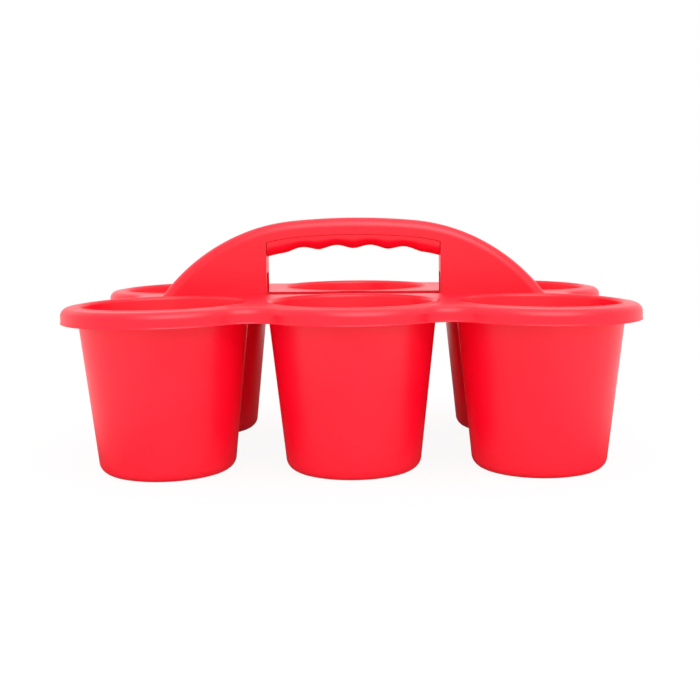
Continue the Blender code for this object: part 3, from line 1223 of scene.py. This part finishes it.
@dataclass
class FingerGrip:
    """The notched grip that closes the underside of the arch.

    It is drawn along the arch as a section whose depth follows the finger notches.

    Attributes:
        line: The handle's outline.
        finish: The plastic it is made of.
        gap: Gap between the grip and the arch in the middle.
        end_gap: The same gap at the grip's ends.
        gap_power: How that gap gathers towards the ends.
        tongue_half_width: Half the width of the tongue on its top.
        tongue_height: Height of that tongue.
        half_length: Half its length.
        half_width: Half its width.
        depth: Its depth between the notches.
        notch_depth: How deep the finger notches are.
        notch_pitch: Distance between them.
        notch_count: Their number.
        notch_power: Their shape: 1 is a plain half wave, and more is narrower.
        top_edge: Size of its eased top edges.
        top_edge_share: Share of that size by which the edge's middle point is drawn in.
        corner: Round of its lower edges.
        corner_steps: Steps in that round.
        steps_per_notch: Steps along a notch.
        end_steps: Steps along each plain end.
    """

    line: ArchLine
    finish: MouldedPlastic
    gap: float = 0.00005
    end_gap: float = 0.00015
    gap_power: int = 4
    tongue_half_width: float = 0.0068
    tongue_height: float = 0.0010
    half_length: float = 0.0531
    half_width: float = 0.0091
    depth: float = 0.0087
    notch_depth: float = 0.0021
    notch_pitch: float = 0.0212
    notch_count: int = 4
    notch_power: float = 1.7
    top_edge: float = 0.0002
    top_edge_share: float = 0.3
    corner: float = 0.0062
    corner_steps: int = 9
    steps_per_notch: int = 22
    end_steps: int = 6

    def notch(self, x: float) -> float:
        """How far the finger notches raise the underside.

        Args:
            x: The place along the handle.

        Returns:
            The notches' depth there.
        """
        half = self.notch_count * self.notch_pitch / 2.0
        if abs(x) >= half:
            return 0.0
        share = ((x + half) / self.notch_pitch) % 1.0
        return self.notch_depth * math.sin(HALF_TURN * share) ** self.notch_power

    def places(self) -> list[float]:
        """Places along the handle at which the section is set, from left to right.

        Returns:
            The places.
        """
        half = self.notch_count * self.notch_pitch / 2.0
        count = self.notch_count * self.steps_per_notch
        found = []
        for step in range(self.end_steps):
            found.append(-self.half_length + (self.half_length - half) * step / self.end_steps)
        for step in range(count + 1):
            found.append(half * (2.0 * step / count - 1.0))
        mirrored = [-x for x in reversed(found[: self.end_steps])]
        return found + mirrored

    def section(self) -> list[Point2]:
        """Width and depth of the section's points, from one top edge round to the other.

        Returns:
            The points, with depths below the grip's top.
        """
        half = self.half_width
        edge = self.top_edge
        drawn_in = self.top_edge_share * edge
        corner = self.corner
        centre = (corner - half, corner - self.depth)
        left = [
            (-self.tongue_half_width, self.tongue_height),
            (-self.tongue_half_width, 0.0),
            (edge - half, 0.0),
            (drawn_in - half, -drawn_in),
            (-half, -edge),
            *arc(centre, corner, HALF_TURN, HALF_TURN + QUARTER_TURN, self.corner_steps),
        ]
        right = [(-width, height) for width, height in reversed(left)]
        return left + right

    def build(self) -> bpy.types.Object:
        """Draw the section along the arch, scaling it to the notches, and close its ends.

        Returns:
            The finished grip.
        """
        places = self.places()
        x = places[0]
        top = self.top_at(x)
        section = [(x, width, top + height) for width, height in self.section()]
        grip = draw_wire("moulded_finger_grip", section)
        bpy.ops.mesh.edge_face_add()
        bpy.ops.mesh.select_mode(type="FACE")
        scale = 1.0
        for place in places[1:]:
            new_top = self.top_at(place)
            step = (place - x, 0.0, new_top - top)
            bpy.ops.mesh.extrude_region_move(TRANSFORM_OT_translate={"value": step})
            new_scale = (self.depth - self.notch(place)) / self.depth
            bpy.ops.transform.resize(
                value=(1.0, 1.0, new_scale / scale), center_override=(place, 0.0, new_top)
            )
            x = place
            top = new_top
            scale = new_scale
        weld_and_face_out()
        clear_selection()
        dress(grip, self.finish, "finger_grip")
        return grip

    def top_at(self, x: float) -> float:
        """Height of the grip's top at a place along it."""
        spread = (self.end_gap - self.gap) * (x / self.half_length) ** self.gap_power
        return self.line.height(x, self.line.arch_depth + self.gap + spread)


# The studio


@dataclass(frozen=True)
class PhotographView:
    """The photograph's camera, as found from the object's own outlines.

    Attributes:
        place: Where the lens stands.
        yaw: Turn to the left.
        pitch: Turn down.
        roll: Turn about the view.
        focal_pixels: Focal length in the photograph's pixels.
        centre_pixels: Where the lens axis meets the photograph.
        frame_pixels: The photograph's side.
        sensor: The sensor's width, in millimetres.
    """

    place: Point3 = (0.01153, -0.70061, 0.15013)
    yaw: float = -0.0076
    pitch: float = 0.1234
    roll: float = -0.0081
    focal_pixels: float = 1123.18
    centre_pixels: Point2 = (381.39, 345.48)
    frame_pixels: float = 700.0
    sensor: float = 36.0

    def build(self) -> bpy.types.Object:
        """Set the camera up and make it the scene's camera.

        Returns:
            The camera.
        """
        data = bpy.data.cameras.new("photograph_view")
        camera = bpy.data.objects.new("photograph_view", data)
        bpy.context.scene.collection.objects.link(camera)
        data.sensor_width = self.sensor
        data.lens = self.focal_pixels * self.sensor / self.frame_pixels
        middle = self.frame_pixels / 2.0
        data.shift_x = (middle - self.centre_pixels[0]) / self.frame_pixels
        data.shift_y = (self.centre_pixels[1] - middle) / self.frame_pixels
        turn = Matrix.Rotation(self.yaw, 4, "Z")
        turn = turn @ Matrix.Rotation(QUARTER_TURN - self.pitch, 4, "X")
        turn = turn @ Matrix.Rotation(self.roll, 4, "Z")
        camera.matrix_world = Matrix.Translation(self.place) @ turn
        bpy.context.scene.camera = camera
        return camera


@dataclass(frozen=True)
class SoftLamp:
    """A soft rectangular lamp that faces the caddy.

    Attributes:
        name: Its name.
        place: Where it hangs.
        size: Its two sides.
        watts: Its power.
        shine_only: Whether it shows only in the plastic's shine.
    """

    name: str
    place: Point3
    size: Point2
    watts: float
    shine_only: bool = False

    def build(self, aim: Point3) -> None:
        """Hang the lamp and turn it.

        Args:
            aim: The point that it faces.
        """
        data = bpy.data.lights.new(self.name, "AREA")
        data.shape = "RECTANGLE"
        data.size, data.size_y = self.size
        data.energy = self.watts
        lamp = bpy.data.objects.new(self.name, data)
        bpy.context.scene.collection.objects.link(lamp)
        lamp.visible_diffuse = not self.shine_only
        facing = Vector(aim) - Vector(self.place)
        turn = facing.to_track_quat("-Z", "Y").to_matrix().to_4x4()
        lamp.matrix_world = Matrix.Translation(self.place) @ turn


SOFT_LAMPS = (
    SoftLamp("front_softbox", (0.45, -1.40, 1.60), (1.8, 1.5), 14.0),
    SoftLamp("top_softbox", (0.10, -0.30, 1.70), (1.6, 1.2), 4.0),
    SoftLamp("high_card", (0.25, -1.10, 1.35), (1.6, 1.2), 11.0, shine_only=True),
)


@dataclass
class Studio:
    """A pale floor that runs to white, and plain soft light; near the caddy the floor is dimmed in the
    plastic's reflections, a painted shade.

    Attributes:
        lamps: The soft lamps.
        aim: The point that they face, in the caddy's middle.
        floor_half: Half the floor's side.
        floor_colour: Its colour.
        near: Distance from the caddy's middle up to which the floor shows its shading to the camera,
            and a painted shade in the plastic's reflections.
        far: Distance from which it is plain white.
        oval: How fast that distance grows along each axis: faster to the sides than forwards.
        direct_share: Share of plain glow near the caddy where the camera sees the floor.
        reflection_painted_shade_share: The same share where the plastic mirrors the floor, where the
            glow is a painted shade.
        reflection_painted_shade_glow: Strength of that glow near the caddy, in the plastic: a painted
            shade, far darker than the lit floor.
        ambient: Strength of the light from all round.
    """

    lamps: tuple[SoftLamp, ...] = SOFT_LAMPS
    aim: Point3 = (0.0, 0.0, 0.07)
    floor_half: float = 6.0
    floor_colour: Colour = (0.94, 0.94, 0.94)
    near: float = 0.28
    far: float = 0.55
    oval: Point3 = (1.9, 0.88, 1.0)
    direct_share: float = 0.92
    reflection_painted_shade_share: float = 0.95
    reflection_painted_shade_glow: float = 0.06
    ambient: float = 1.00

    def build(self) -> None:
        """Build the floor, the surrounding light and the lamps, and set the view."""
        self.floor()
        self.surroundings()
        for lamp in self.lamps:
            lamp.build(self.aim)
        bpy.context.scene.view_settings.view_transform = "Standard"

    def floor(self) -> None:
        """Lay the floor."""
        clear_selection()
        bpy.ops.mesh.primitive_plane_add(size=2.0 * self.floor_half)
        floor = bpy.context.object
        floor.name = "studio_floor"
        floor.data.materials.append(self.pale_material())
        clear_selection()

    def pale_material(self) -> bpy.types.Material:
        """Mix a matt surface, which keeps the caddy's shadow, with a glow: plain white to the camera,
        and near the caddy a dim painted shade in the plastic's reflections.

        Returns:
            The floor's material.
        """
        made = bpy.data.materials.new("pale_floor")
        made.use_nodes = True
        tree = made.node_tree
        tree.nodes.remove(tree.nodes["Principled BSDF"])
        path = add_node(tree, "ShaderNodeLightPath", {})
        seen = path.outputs["Is Camera Ray"]
        away = self.distance_white(tree)
        direct = self.glow_share(tree, away, seen, self.direct_share)
        # Near the caddy the plastic mirrors mostly a dim glow in place of the lit floor: painted shade
        # in its reflections.
        mirrored = self.glow_share(tree, away, mirrored_rays(tree, path), self.reflection_painted_shade_share)
        plain = combine(tree, "MAXIMUM", away, seen)
        # The glow is plain white far off and to the camera, and dim near the caddy in reflections:
        # painted shade.
        strength = ranged(tree, plain, WHOLE, (self.reflection_painted_shade_glow, 1.0))
        matt = add_node(tree, "ShaderNodeBsdfDiffuse", {"Color": (*self.floor_colour, 1.0)})
        glow = add_node(tree, "ShaderNodeEmission", {"Strength": strength})
        share = combine(tree, "MAXIMUM", direct, mirrored)
        shaders = {0: share, 1: matt.outputs[0], 2: glow.outputs[0]}
        blend = add_node(tree, "ShaderNodeMixShader", shaders)
        feed(tree, tree.nodes["Material Output"], {"Surface": blend.outputs[0]})
        return made

    def distance_white(self, tree: Tree) -> Socket:
        """How far the floor has run to white: 0 near the caddy, 1 far off.

        Args:
            tree: The floor's tree.

        Returns:
            The socket that carries it.
        """
        place = add_node(tree, "ShaderNodeTexCoord", {}).outputs["Object"]
        factors = {0: place, 1: self.oval}
        stretched = add_node(tree, "ShaderNodeVectorMath", factors, operation="MULTIPLY")
        reach = {0: stretched.outputs["Vector"]}
        length = add_node(tree, "ShaderNodeVectorMath", reach, operation="LENGTH")
        band = (self.near, self.far)
        return ranged(tree, length.outputs["Value"], band, interpolation_type="SMOOTHSTEP")

    def glow_share(self, tree: Tree, away: Socket, ray: Socket, share: float) -> Socket:
        """Share of glow that one kind of ray sees, by the share near the caddy; in the plastic's
        reflections that glow is a painted shade.
        """
        return combine(tree, "MULTIPLY", ray, combine(tree, "MAXIMUM", away, share))

    def surroundings(self) -> None:
        """Light from all round, white where it is seen directly or in a reflection."""
        world = bpy.data.worlds.new("white_room")
        world.use_nodes = True
        tree = world.node_tree
        path = add_node(tree, "ShaderNodeLightPath", {})
        seen = combine(tree, "MAXIMUM", path.outputs["Is Camera Ray"], mirrored_rays(tree, path))
        strength = ranged(tree, seen, WHOLE, (self.ambient, 1.0))
        white = {"Color": (1.0, 1.0, 1.0, 1.0), "Strength": strength}
        feed(tree, tree.nodes["Background"], white)
        bpy.context.scene.world = world


def main() -> None:
    """Build the caddy's pieces in order, then the studio and the camera."""
    logging.basicConfig(level=logging.INFO, format="%(name)s: %(message)s")
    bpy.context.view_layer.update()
    sizes = CupSizes()
    line = ArchLine()
    for row in Row:
        for column in Column:
            finish = MouldedPlastic(f"red_{row.value}_{column.value}_cup")
            TaperedCup(row, column, sizes, finish).build()
    ScallopedDeck(sizes, MouldedPlastic("red_deck")).build()
    ArchedHandle(line, MouldedPlastic("red_handle")).build()
    FingerGrip(line, MouldedPlastic("red_grip")).build()
    Studio().build()
    PhotographView().build()


if __name__ == "__main__":
    main()
